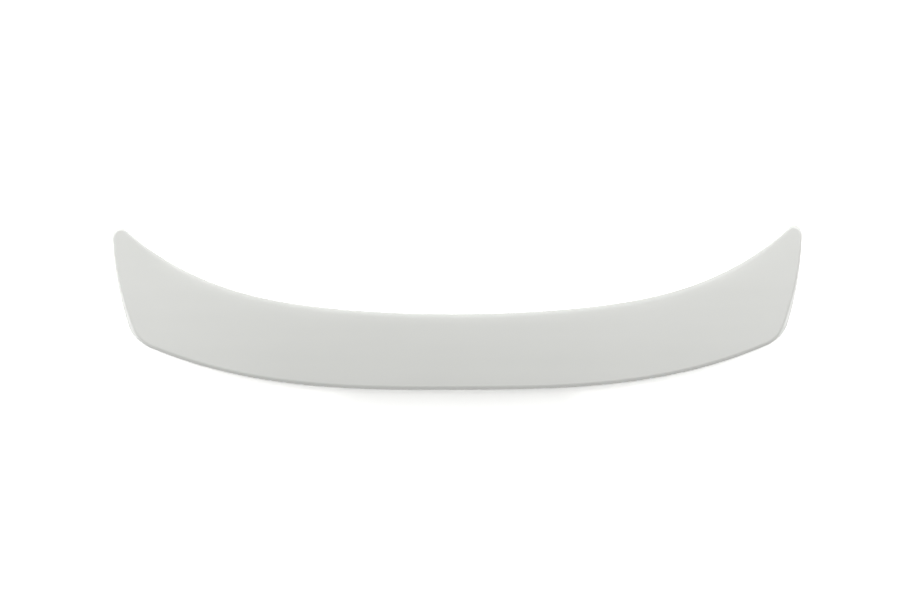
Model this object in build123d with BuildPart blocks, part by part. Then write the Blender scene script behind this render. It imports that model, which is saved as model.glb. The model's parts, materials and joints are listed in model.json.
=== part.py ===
"""Rear spoiler for a car's boot lid: one moulding with horned ends, and its threaded inserts.

Millimetres. X runs across the car, +Y towards its front, +Z up. X = 0 is the car's middle line, Y = 0 is
half-way along the spoiler, and the ends of its rim stand on Z = 0.
"""

import os
from math import hypot, radians, tan

from build123d import *

# Plan of the blade
SPAN = 1244.0  # across the horns
CHORD = 168.0  # leading to trailing edge in the middle, before the edges are rounded
LEAD_SWEEP = 101.0  # how far the leading edge's even sweep runs forward by the ends
HORN_REACH = 118.0  # how far the horns run on past that sweep
HORN_POWER = 4.7  # a higher power bends the horns forward later
TRAIL_SWEEP = 152.0  # how far the trailing edge's curve runs forward by the ends
TRAIL_POWER = 2.83  # a higher power keeps the trailing edge straighter in the middle
SIDE_LENGTH = 235.0  # from the horn's shoulder back to the trailing edge's end
SIDE_RUN = 70.0  # how far a side closes in over that length
SIDE_BOW = 0.5  # share of the run that comes late, as the side bows
SHOULDER_BACK = 40.0  # from the leading edge's line back to the horn's widest point
TIP_RADIUS = 15.0
CORNER_RADIUS = 34.0

# Heights, measured up from the lid
LID_CROWN = 12.0  # the lid's rise from the ends to the middle
CREST_HEIGHT = 19.0  # leading edge, in the middle
HORN_HEIGHT = 16.0  # leading edge, at the ends
TAIL_HEIGHT = 47.0  # trailing edge, in the middle
TAIL_END_HEIGHT = 36.0  # trailing edge, at the ends
TOP_BOW = 0.35  # share of the rise that comes early in the chord, as the top bows
CREST_RUN = 26.0  # how far behind the leading edge the top starts to roll over
CREST_DROP = 8.0  # how far it has rolled down by the leading edge

# Walls and edges
FRONT_LEAN = 36.0  # degrees from upright
SIDE_LEAN = 12.0
UNDERCUT = 30.0  # lean of the rear face in under the trailing edge
EDGE_RADIUS = 4.0
FOOT_CHAMFER = 1.2
RIM_WIDTH = 16.0  # flat rim that lies on the lid
DISH_DEPTH = 3.5  # hollow of the underside inside the rim

# Recess in the rear face
LAMP_LENGTH = 388.0
LAMP_HEIGHT = 20.0
LAMP_DEPTH = 20.0
LAMP_CLEARANCE = 1.0
LAMP_CORNER = 4.0
LAMP_LIP = 7.0  # below the recess, in the middle
MOUTH_CHAMFER = 1.0
CLIP_SPACING = 203.0
CLIP_WIDTH = 14.0
CLIP_LENGTH = 7.0
CLIP_DEPTH = 3.0
LEAD_SLOT_LENGTH = 22.0
LEAD_SLOT_WIDTH = 12.0

# Threaded inserts in the underside, for M6 bolts
INNER_SPACING = 560.0
INNER_BACK = 85.0  # from the leading edge back to the insert
OUTER_SPACING = 1030.0
OUTER_BACK = 100.0
BARREL_RADIUS = 5.0
BARREL_LENGTH = 15.0
FLANGE_RADIUS = 7.0
FLANGE_THICKNESS = 1.5
INSERT_RECESS = 0.5  # from the lid up to the flange
BORE_RADIUS = 2.5
BORE_DEPTH = 12.0
BORE_CHAMFER = 0.5
BOSS_RADIUS = 14.0

half_span = SPAN / 2
wall_foot = -LID_CROWN
wall_top = TAIL_HEIGHT + 2 * LID_CROWN
STATIONS = [half_span * share for share in (-1.08, -0.86, -0.62, -0.32, 0, 0.32, 0.62, 0.86, 1.08)]


def reach(x):
    """Distance from the middle as a share of the half span."""
    return abs(x) / half_span


def trail(x):
    """Trailing edge in plan."""
    return TRAIL_SWEEP * reach(x) ** TRAIL_POWER


def lead(x):
    """Leading edge in plan: an even sweep, and the horns' further reach near the ends."""
    return CHORD + LEAD_SWEEP * reach(x) ** 2 + HORN_REACH * reach(x) ** HORN_POWER


def lid(x):
    """Height of the lid under the rim."""
    return LID_CROWN * (1 - reach(x) ** 2)


def crest(x):
    """Height of the leading edge, before the top rolls over there."""
    return lid(x) + CREST_HEIGHT + (HORN_HEIGHT - CREST_HEIGHT) * reach(x) ** 2


def tail(x):
    """Height of the trailing edge."""
    return lid(x) + TAIL_HEIGHT + (TAIL_END_HEIGHT - TAIL_HEIGHT) * reach(x) ** 2


def top(x, back):
    """Height of the top surface, a given way back from the leading edge."""
    share = back / (lead(x) - trail(x))
    rise = (tail(x) - crest(x)) * ((1 + TOP_BOW) * share - TOP_BOW * share**2)
    roll = CREST_DROP * max(0, 1 - back / CREST_RUN) ** 2
    return crest(x) + rise - roll


def front_wall(x, z):
    """Where the leaning front wall stands at height z."""
    return lead(x) + (crest(x) - CREST_DROP - z) * tan(radians(FRONT_LEAN))


def rear_wall(x, z):
    """Where the rear face stands at height z, leaning in under the tail."""
    return trail(x) + (tail(x) - z) * tan(radians(UNDERCUT))


def side_wall(share, z):
    """A point of the right-hand side at height z, a share of its length back from the horn's shoulder."""
    closing = SIDE_RUN * ((1 - SIDE_BOW) * share + SIDE_BOW * share**2)
    shoulder = lead(half_span) - SHOULDER_BACK
    return (half_span - closing - z * tan(radians(SIDE_LEAN)), shoulder - share * SIDE_LENGTH)


def beside(wall, x, z, distance):
    """A point of a wall's line in plan, moved square to the line."""
    step = 1.0
    slope = (wall(x + step, z) - wall(x - step, z)) / (2 * step)
    return (x - distance * slope / hypot(1, slope), wall(x, z) + distance / hypot(1, slope))


def plan_block(inset, tip_radius, corner_radius):
    """The spoiler's plan between its leaning walls, as a block that runs past the lid and the top."""
    with BuildPart() as block:
        for z in (wall_foot, wall_top):
            with BuildSketch(Plane.XY.offset(z)):
                with BuildLine():
                    front = Spline([beside(front_wall, x, z, -inset) for x in STATIONS])
                    rear = Spline([beside(rear_wall, x, z, inset) for x in STATIONS])
                    Line(front @ 0, rear @ 0)
                    Line(front @ 1, rear @ 1)
                make_face()
        loft(ruled=True)
        for z in (wall_foot, wall_top):
            points = [side_wall(share, z) for share in (-0.3, 0.2, 0.7, 1.5)]
            with BuildSketch(Plane.XY.offset(z)):
                with BuildLine():
                    right = Spline([(x - inset, y) for x, y in points])
                    left = Spline([(inset - x, y) for x, y in points])
                    Line(right @ 0, left @ 0)
                    past_tail = [((right @ 1).X, -CHORD), ((left @ 1).X, -CHORD)]
                    Polyline(right @ 1, *past_tail, left @ 1)
                make_face()
        loft(ruled=True, mode=Mode.INTERSECT)
        fillet(uprights(block).group_by(Axis.Y)[0], corner_radius)
        fillet(uprights(block).group_by(Axis.Y)[-1], tip_radius)
    return block.part


def uprights(block):
    """The edges where two walls meet."""
    return block.edges().filter_by(lambda edge: abs((edge % 0.5).Z) > 0.3)


def below(height):
    """Everything under the lid's crown, raised by a height."""
    end = STATIONS[-1]
    with BuildPart() as space:
        with BuildSketch(Plane.XZ):
            with BuildLine():
                ends = [(-end, lid(end) + height), (end, lid(end) + height)]
                ThreePointArc(ends[0], (0, lid(0) + height), ends[1])
                Polyline(ends[0], (-end, -SPAN), (end, -SPAN), ends[1])
            make_face()
        extrude(amount=SPAN, both=True)
    return space.part


# The space above the blade: its lower side is the top surface
with BuildPart() as above:
    for x in STATIONS:
        chord = lead(x) - trail(x)
        steps = [CREST_RUN * share for share in (-1, -0.5, 0, 0.5, 1)]
        steps += [chord * share for share in (0.35, 0.7, 1.0, 1.3)]
        with BuildSketch(Plane.YZ.offset(x)):
            with BuildLine():
                profile = Spline([(lead(x) - back, top(x, back)) for back in steps])
                Polyline(profile @ 0, ((profile @ 0).X, SPAN), ((profile @ 1).X, SPAN), profile @ 1)
            make_face()
    loft()

# An insert stands on its flange at Z = 0
with BuildPart() as insert_blank:
    with BuildSketch(Plane.XZ):
        with BuildLine():
            Polyline(
                (0, 0),
                (FLANGE_RADIUS, 0),
                (FLANGE_RADIUS, FLANGE_THICKNESS),
                (BARREL_RADIUS, FLANGE_THICKNESS),
                (BARREL_RADIUS, BARREL_LENGTH),
                (0, BARREL_LENGTH),
                close=True,
            )
        make_face()
    revolve(axis=Axis.Z)

with BuildPart() as insert:
    add(insert_blank.part)
    with Locations(Plane.XY.rotated((180, 0, 0))):
        Hole(BORE_RADIUS, depth=BORE_DEPTH)
    mouth = insert.edges().filter_by(GeomType.CIRCLE).group_by(Axis.Z)[0].sort_by(SortBy.RADIUS)[0]
    chamfer(mouth, BORE_CHAMFER)

insert_spots = []
for spacing, back in ((INNER_SPACING, INNER_BACK), (OUTER_SPACING, OUTER_BACK)):
    for x in (-spacing / 2, spacing / 2):
        insert_spots.append((x, lead(x) - back, lid(x) + INSERT_RECESS))

# The hollow of the underside, with a boss left standing round each insert
with BuildPart() as dish:
    add(plan_block(RIM_WIDTH, TIP_RADIUS, CORNER_RADIUS - RIM_WIDTH))
    add(below(DISH_DEPTH), mode=Mode.INTERSECT)
    with Locations(*insert_spots):
        Cylinder(BOSS_RADIUS, wall_top, mode=Mode.SUBTRACT)

with BuildPart() as blade:
    add(plan_block(0, TIP_RADIUS, CORNER_RADIUS))
    add(above.part, mode=Mode.SUBTRACT)
    add(below(0), mode=Mode.SUBTRACT)
    fillet(blade.faces().sort_by(Axis.Z)[-1].edges(), EDGE_RADIUS)
    chamfer(blade.faces().sort_by(Axis.Z)[0].edges(), FOOT_CHAMFER)
    add(dish.part, mode=Mode.SUBTRACT)

    # The recess, cut from its back wall out through the rear face, with a chamfered mouth
    recess_foot = lid(0) + LAMP_LIP
    recess_length = LAMP_LENGTH + 2 * LAMP_CLEARANCE
    recess_height = LAMP_HEIGHT + 2 * LAMP_CLEARANCE
    recess_back = rear_wall(0, recess_foot) + LAMP_DEPTH
    with BuildSketch(Plane.XZ.offset(-recess_back)):
        with Locations((0, recess_foot + recess_height / 2)):
            RectangleRounded(recess_length, recess_height, LAMP_CORNER)
    extrude(amount=2 * LAMP_DEPTH, mode=Mode.SUBTRACT)
    cut_edges = blade.edges(Select.LAST).filter_by(Axis.Y, reverse=True)
    mouth_edges = cut_edges.filter_by(lambda edge: edge.center().Y < recess_back - MOUTH_CHAMFER)
    chamfer(mouth_edges, MOUTH_CHAMFER)

    # Slots for clips in the recess's ceiling, and one that takes a lead down into the hollow
    with BuildSketch(Plane.XY.offset(recess_foot + recess_height)):
        with Locations((0, recess_back - CLIP_LENGTH)):
            with GridLocations(CLIP_SPACING, 0, 2, 1):
                Rectangle(CLIP_WIDTH, CLIP_LENGTH)
    extrude(amount=CLIP_DEPTH, mode=Mode.SUBTRACT)
    with BuildSketch(Plane.XY.offset(recess_foot)):
        with Locations((0, recess_back)):
            SlotOverall(LEAD_SLOT_LENGTH, LEAD_SLOT_WIDTH)
    extrude(amount=-recess_foot, mode=Mode.SUBTRACT)

    # Seats of the inserts, open to the lid
    with Locations(*insert_spots):
        add(insert_blank.part, mode=Mode.SUBTRACT)
        Cylinder(FLANGE_RADIUS, LID_CROWN, align=(Align.CENTER, Align.CENTER, Align.MAX), mode=Mode.SUBTRACT)

# The finished pieces, with the middle of their foot at the origin
box = blade.part.bounding_box()
stand = (0, -box.center().Y, -box.min.Z)

with BuildPart() as spoiler_moulding:
    with Locations(stand):
        add(blade.part)

with BuildPart() as threaded_inserts:
    with Locations(stand):
        with Locations(*insert_spots):
            add(insert.part)

os.makedirs("parts", exist_ok=True)
spoiler_moulding.part.label = "spoiler_moulding"
export_step(spoiler_moulding.part, "parts/spoiler_moulding.step")
threaded_inserts.part.label = "threaded_inserts"
export_step(threaded_inserts.part, "parts/threaded_inserts.step")
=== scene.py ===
"""The looks of a car's rear spoiler in grey primer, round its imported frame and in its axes, in metres."""

import json
from math import cos, pi, radians, sin, tan

import bmesh
import bpy
from mathutils import Matrix, Vector


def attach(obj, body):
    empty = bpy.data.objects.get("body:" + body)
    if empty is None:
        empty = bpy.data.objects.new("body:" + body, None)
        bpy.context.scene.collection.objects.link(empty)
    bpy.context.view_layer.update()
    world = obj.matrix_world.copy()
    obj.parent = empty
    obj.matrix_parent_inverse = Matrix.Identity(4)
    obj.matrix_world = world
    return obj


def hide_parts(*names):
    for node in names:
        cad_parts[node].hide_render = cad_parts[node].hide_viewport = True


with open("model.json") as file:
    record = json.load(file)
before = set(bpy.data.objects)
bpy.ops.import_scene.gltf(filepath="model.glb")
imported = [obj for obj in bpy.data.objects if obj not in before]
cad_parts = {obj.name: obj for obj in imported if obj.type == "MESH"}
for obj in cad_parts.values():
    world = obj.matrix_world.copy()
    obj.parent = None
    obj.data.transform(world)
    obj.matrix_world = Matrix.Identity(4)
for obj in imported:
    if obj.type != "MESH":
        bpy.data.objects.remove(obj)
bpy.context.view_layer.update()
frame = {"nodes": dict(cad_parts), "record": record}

# Finishes: helpers that turn arithmetic into nodes, so that each finish below reads as a formula.


class Finish:
    """A socket in a node tree, with arithmetic that adds Math nodes."""

    def __init__(self, tree, socket=None):
        self.tree = tree
        self.socket = socket

    def node(self, kind, inputs, output=0, **settings):
        """Adds a node: its settings are made first, and then its sockets get their values or links."""
        made = self.tree.nodes.new(kind)
        for name, value in settings.items():
            setattr(made, name, value)
        for name, value in inputs.items():
            if isinstance(value, Finish):
                self.tree.links.new(value.socket, made.inputs[name])
            else:
                made.inputs[name].default_value = value
        return Finish(self.tree, made.outputs[output])

    def also(self, output):
        """Another output of the same node."""
        return Finish(self.tree, self.socket.node.outputs[output])

    def feed(self, socket):
        """Links this one to a socket of a node that is there already."""
        self.tree.links.new(self.socket, socket)

    def math(self, operation, first, second):
        return self.node("ShaderNodeMath", {0: first, 1: second}, operation=operation)

    def swing(self, share):
        """A share of a noise, as much below zero as above it."""
        return (self - 0.5) * share

    def __add__(self, other):
        return self.math("ADD", self, other)

    def __sub__(self, other):
        return self.math("SUBTRACT", self, other)

    def __mul__(self, other):
        return self.math("MULTIPLY", self, other)

    __radd__ = __add__
    __rmul__ = __mul__


def grain(finish, place, scale, detail):
    """Noise of about one bump in each 1/scale metres, from 0 to 1."""
    return finish.node("ShaderNodeTexNoise", {"Vector": place, "Scale": scale, "Detail": detail})


def stretched(finish, place, along, across):
    """Coordinates for a pattern that is drawn out lengthwise."""
    return finish.node("ShaderNodeMapping", {"Vector": place, "Scale": (along, across, across)})


def blended(finish, share, first, second):
    """A colour between two others."""
    return finish.node("ShaderNodeMix", {0: share, 6: first, 7: second}, output=2, data_type="RGBA")


def grey(level):
    return (level, level, level, 1)


# Spoiler moulding: one rigid foam moulding with a closed skin, rubbed down lengthwise and sprayed in a
# light-grey primer for the car's own paint to go on. Its underside only gets the spray that drifts there.
primer_thin = (0.587, 0.595, 0.570, 1)
primer_full = (0.656, 0.662, 0.638, 1)
bare_skin = (0.47, 0.47, 0.44, 1)
skin_shown_least = 0.25
skin_shown_more = 0.45
primer_matt = 0.47
primer_gloss = 0.45
peel_height = 0.00006
tooth_part = 0.2
rubbing_part = 0.06

primer = bpy.data.materials.new("light_grey_primer")
primer.use_nodes = True
primer_shader = primer.node_tree.nodes["Principled BSDF"]
coat = Finish(primer.node_tree)
place = coat.node("ShaderNodeTexCoord", {}, output="Object")
facing = coat.node("ShaderNodeSeparateXYZ", {0: place.also("Normal")}, output="Z")
underneath = coat.node("ShaderNodeMapRange", {"Value": facing, "From Min": -0.3, "From Max": -0.9})
drift = grain(coat, place, scale=5.0, detail=4.0)
passes = grain(coat, stretched(coat, place, along=1.1, across=16.0), scale=1.0, detail=2.0)
tooth = grain(coat, place, scale=2600.0, detail=2.0)
peel = grain(coat, place, scale=420.0, detail=2.0)
rubbing = grain(coat, stretched(coat, place, along=40.0, across=1500.0), scale=1.0, detail=3.0)
droplets = grain(coat, place, scale=620.0, detail=4.0)
spatter = coat.node("ShaderNodeMapRange", {"Value": droplets, "From Min": 0.42, "From Max": 0.62})
cover = 0.5 + drift.swing(0.55) + passes.swing(0.5) + tooth.swing(0.45) + rubbing.swing(0.2)
sprayed = blended(coat, cover, primer_thin, primer_full)
skin_shown = underneath * (skin_shown_least + spatter * skin_shown_more)
blended(coat, skin_shown, sprayed, bare_skin).feed(primer_shader.inputs["Base Color"])
matt = primer_matt + tooth.swing(0.16) + rubbing.swing(0.12) + underneath * 0.16
matt.feed(primer_shader.inputs["Roughness"])
bumps = peel + tooth * tooth_part + rubbing * rubbing_part + underneath * spatter
relief = coat.node("ShaderNodeBump", {"Strength": 1.0, "Distance": peel_height, "Height": bumps})
relief.feed(primer_shader.inputs["Normal"])
primer_shader.inputs["Specular IOR Level"].default_value = primer_gloss

moulding = frame["nodes"]["spoiler_moulding"]
moulding.data.materials.clear()
moulding.data.materials.append(primer)

# Threaded inserts: brass bushes turned from bar, with a flange and an M6 thread. Four of them are moulded
# into the underside, flange to the lid, and the lid's bolts go up into them.
barrel_radius = 0.005
barrel_length = 0.015
flange_radius = 0.007
flange_thickness = 0.0015
edge_break = 0.0003
thread_crest = 0.0025
thread_depth = 0.0005
thread_pitch = 0.001
thread_start = 0.0004
thread_end = 0.0105
bore_depth = 0.012
bore_chamfer = 0.0005
facets = 48
weld_reach = 0.000002
crease_angle = radians(25)
brass_dull = (0.62, 0.46, 0.21, 1)
brass_bright = (0.80, 0.64, 0.34, 1)
brass_matt = 0.24
tool_half_feed_mm = 0.06
tool_wander_mm = 0.05
ridge_height = 0.00001


def thread_radius(height, turn):
    """The bore's radius at a height, part of a turn round: a V groove that climbs one pitch in each turn."""
    groove = 2 * abs((height / thread_pitch - turn) % 1 - 0.5)
    return thread_crest + thread_depth * groove


def turned_rows(turn):
    """The bush's section, part of a turn round, from its closed end down the outside and up the bore."""
    rows = [
        (0, barrel_length),
        (barrel_radius - edge_break, barrel_length),
        (barrel_radius, barrel_length - edge_break),
        (barrel_radius, flange_thickness),
        (flange_radius - edge_break, flange_thickness),
        (flange_radius, flange_thickness - edge_break),
        (flange_radius, edge_break),
        (flange_radius - edge_break, 0),
        (thread_crest + thread_depth + thread_start, 0),
    ]
    half_turns = round(2 * (thread_end - thread_start) / thread_pitch)
    for half_turn in range(-2, half_turns + 3):
        height = (half_turn / 2 + turn) * thread_pitch + thread_start
        height = min(max(height, thread_start), thread_end)
        rows.append((thread_radius(height - thread_start, turn), height))
    rows += [(thread_crest, thread_end + thread_depth), (thread_crest, bore_depth), (0, bore_depth)]
    return rows


bush = bpy.data.meshes.new("threaded_bush")
cut = bmesh.new()
radius_layer = cut.verts.layers.float.new("turned_radius")
rings = []
for step in range(facets + 1):
    turn = step / facets
    ring = []
    for radius, height in turned_rows(turn):
        point = cut.verts.new((radius * cos(2 * pi * turn), radius * sin(2 * pi * turn), height))
        point[radius_layer] = radius
        ring.append(point)
    rings.append(ring)
for here, beyond in zip(rings, rings[1:]):
    for row in range(len(here) - 1):
        cut.faces.new((here[row], here[row + 1], beyond[row + 1], beyond[row]))
bmesh.ops.remove_doubles(cut, verts=cut.verts, dist=weld_reach)
bmesh.ops.dissolve_degenerate(cut, dist=weld_reach, edges=cut.edges)
bmesh.ops.recalc_face_normals(cut, faces=cut.faces)
cut.to_mesh(bush)
cut.free()

brass = bpy.data.materials.new("turned_brass")
brass.use_nodes = True
brass_shader = brass.node_tree.nodes["Principled BSDF"]
polish = Finish(brass.node_tree)
place = polish.node("ShaderNodeTexCoord", {}, output="Object")
radius = polish.node("ShaderNodeAttribute", {}, output="Fac", attribute_name="turned_radius")
wander = grain(polish, place, scale=900.0, detail=2.0) * tool_wander_mm
tool_path = polish.math("PINGPONG", radius * 1000.0 + wander, tool_half_feed_mm)
tool_marks = tool_path * (1 / tool_half_feed_mm)
tarnish = grain(polish, place, scale=380.0, detail=4.0)
blended(polish, tarnish, brass_dull, brass_bright).feed(brass_shader.inputs["Base Color"])
(brass_matt + tarnish * 0.18 + tool_marks * 0.08).feed(brass_shader.inputs["Roughness"])
ridges = polish.node("ShaderNodeBump", {"Strength": 0.5, "Distance": ridge_height, "Height": tool_marks})
ridges.feed(brass_shader.inputs["Normal"])
brass_shader.inputs["Metallic"].default_value = 1.0

right_spots = {}
for mount in frame["record"]["mounts"]:
    if mount["kind"] == "bolt_pattern":
        half_spacing = mount["dims"]["spacing_x_mm"] / 2000
        bore_start = Vector((half_spacing, *mount["pos_m"][1:]))
        right_spots[mount["name"]] = bore_start - Vector((0, 0, bore_chamfer))

fitting = bpy.data.node_groups.new("inserts_in_place", "GeometryNodeTree")
fitting.interface.new_socket("Bush", in_out="INPUT", socket_type="NodeSocketGeometry")
fitting.interface.new_socket("Inserts", in_out="OUTPUT", socket_type="NodeSocketGeometry")
spot_inputs = {}
for name, spot in right_spots.items():
    made = fitting.interface.new_socket(name, in_out="INPUT", socket_type="NodeSocketVector")
    spot_inputs[made.identifier] = spot
bench = Finish(fitting)
given = bench.node("NodeGroupInput", {}, output="Bush")
pairs = fitting.nodes.new("GeometryNodeJoinGeometry")
for name in right_spots:
    right = given.also(name)
    left = bench.node("ShaderNodeVectorMath", {0: right, 1: (-1, 1, 1)}, operation="MULTIPLY")
    pair = bench.node(
        "GeometryNodeMeshLine", {"Count": 2, "Start Location": left, "Offset": right}, mode="END_POINTS"
    )
    pair.feed(pairs.inputs[0])
stood = bench.node(
    "GeometryNodeInstanceOnPoints", {"Points": Finish(fitting, pairs.outputs[0]), "Instance": given}
)
solid = bench.node("GeometryNodeRealizeInstances", {"Geometry": stood})
dressed = bench.node("GeometryNodeSetMaterial", {"Geometry": solid, "Material": brass})
dressed.feed(fitting.nodes.new("NodeGroupOutput").inputs["Inserts"])

inserts = bpy.data.objects.new("brass_inserts", bush)
bpy.context.scene.collection.objects.link(inserts)
modifier = inserts.modifiers.new("inserts_in_place", "NODES")
modifier.node_group = fitting
for identifier, spot in spot_inputs.items():
    modifier[identifier] = spot
placed = bpy.data.meshes.new_from_object(inserts.evaluated_get(bpy.context.evaluated_depsgraph_get()))
inserts.modifiers.remove(modifier)
inserts.data = placed
placed.shade_smooth()
placed.set_sharp_from_angle(angle=crease_angle)
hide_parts("threaded_inserts")
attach(inserts, "root")

# Floor: a white studio sheet under the spoiler. It lights the spoiler as white paper does. The camera sees it
# brighter than that, so that only the shadow close to the spoiler is left on it.
floor_half = 6.0
paper_white = 0.92
seen_white = 2.45
shadow_reach = 0.8
white_from = 1.4

floor_mesh = bpy.data.meshes.new("studio_floor")
floor_corners = [(x * floor_half, y * floor_half, 0) for x, y in ((-1, -1), (1, -1), (1, 1), (-1, 1))]
floor_mesh.from_pydata(floor_corners, [], [(0, 1, 2, 3)])
floor = bpy.data.objects.new("studio_floor", floor_mesh)
bpy.context.scene.collection.objects.link(floor)


def seen_rays(finish):
    """1 for what the camera sees straight, in a reflection or through glass, and 0 for light itself."""
    rays = finish.node("ShaderNodeLightPath", {}, output="Is Camera Ray")
    return rays + rays.also("Is Glossy Ray") + rays.also("Is Transmission Ray")


sheet = bpy.data.materials.new("white_sheet")
sheet.use_nodes = True
sheet.node_tree.nodes.clear()
paper = Finish(sheet.node_tree)
lit = paper.node("ShaderNodeBsdfDiffuse", {"Color": grey(paper_white)})
near = paper.node("ShaderNodeBsdfDiffuse", {"Color": grey(seen_white)})
far = paper.node("ShaderNodeEmission", {"Color": grey(1), "Strength": 1.0})
place = paper.node("ShaderNodeTexCoord", {}, output="Object")
distance = paper.node("ShaderNodeVectorMath", {0: place}, output="Value", operation="LENGTH")
farness = paper.node(
    "ShaderNodeMapRange", {"Value": distance, "From Min": shadow_reach, "From Max": white_from}
)
white = paper.node("ShaderNodeMixShader", {0: farness, 1: near, 2: far})
shown = paper.node("ShaderNodeMixShader", {0: seen_rays(paper), 1: lit, 2: white})
shown.feed(sheet.node_tree.nodes.new("ShaderNodeOutputMaterial").inputs["Surface"])
floor_mesh.materials.append(sheet)

# Light: a dim white room with soft lamps all round. The strongest of them stand behind the spoiler, and two
# low ones light its sides.
room_strength = 0.4
room_seen_strength = 1.0

world = bpy.data.worlds.new("white_room")
bpy.context.scene.world = world
world.use_nodes = True
world.node_tree.nodes.clear()
air = Finish(world.node_tree)
room_light = air.node("ShaderNodeBackground", {"Color": grey(1), "Strength": room_strength})
room_white = air.node("ShaderNodeBackground", {"Color": grey(1), "Strength": room_seen_strength})
shown = air.node("ShaderNodeMixShader", {0: seen_rays(air), 1: room_light, 2: room_white})
shown.feed(world.node_tree.nodes.new("ShaderNodeOutputWorld").inputs["Surface"])


def soft_lamp(name, width, depth, watts, spot):
    """A broad lamp at a spot, turned to face the spoiler, that isn't seen itself."""
    lamp = bpy.data.lights.new(name, "AREA")
    lamp.shape = "RECTANGLE"
    lamp.size = width
    lamp.size_y = depth
    lamp.energy = watts
    body = bpy.data.objects.new(name, lamp)
    body.location = spot
    body.rotation_euler = (-Vector(spot)).to_track_quat("-Z", "Y").to_euler()
    body.visible_camera = False
    bpy.context.scene.collection.objects.link(body)


soft_lamp("back_right_lamp", width=1.2, depth=0.8, watts=15.0, spot=(1.3, 1.7, 0.85))
soft_lamp("back_left_lamp", width=1.2, depth=0.8, watts=15.0, spot=(-1.3, 1.7, 0.85))
soft_lamp("right_lamp", width=0.8, depth=0.8, watts=4.2, spot=(0.9, 0.5, 1.1))
soft_lamp("left_lamp", width=0.8, depth=0.8, watts=4.6, spot=(-1.0, 0.5, 1.1))
soft_lamp("low_right_lamp", width=0.8, depth=0.3, watts=1.4, spot=(1.6, 0, 0.25))
soft_lamp("low_left_lamp", width=0.8, depth=0.3, watts=2.6, spot=(-1.6, 0, 0.25))
soft_lamp("front_lamp", width=2.0, depth=0.8, watts=8.0, spot=(0, -2.0, 1.0))

# Camera: it looks down on the spoiler from behind the car, as the photograph does.
view_elevation = radians(58)
view_azimuth = radians(-0.93)
view_roll = radians(0.57)
view_distance = 2.445
view_width = radians(36)
looked_at = Vector((0.0021, -0.0037, 0.025))

back = Vector(
    (
        sin(view_azimuth) * cos(view_elevation),
        -cos(view_azimuth) * cos(view_elevation),
        sin(view_elevation),
    )
)
camera_data = bpy.data.cameras.new("camera")
camera_data.sensor_width = 36
camera_data.lens = camera_data.sensor_width / 2 / tan(view_width / 2)
camera = bpy.data.objects.new("camera", camera_data)
level = (-back).to_track_quat("-Z", "Y").to_matrix()
camera.matrix_world = Matrix.LocRotScale(
    looked_at + back * view_distance, level @ Matrix.Rotation(view_roll, 3, "Z"), None
)
bpy.context.scene.collection.objects.link(camera)
bpy.context.scene.camera = camera
bpy.context.scene.view_settings.view_transform = "Standard"
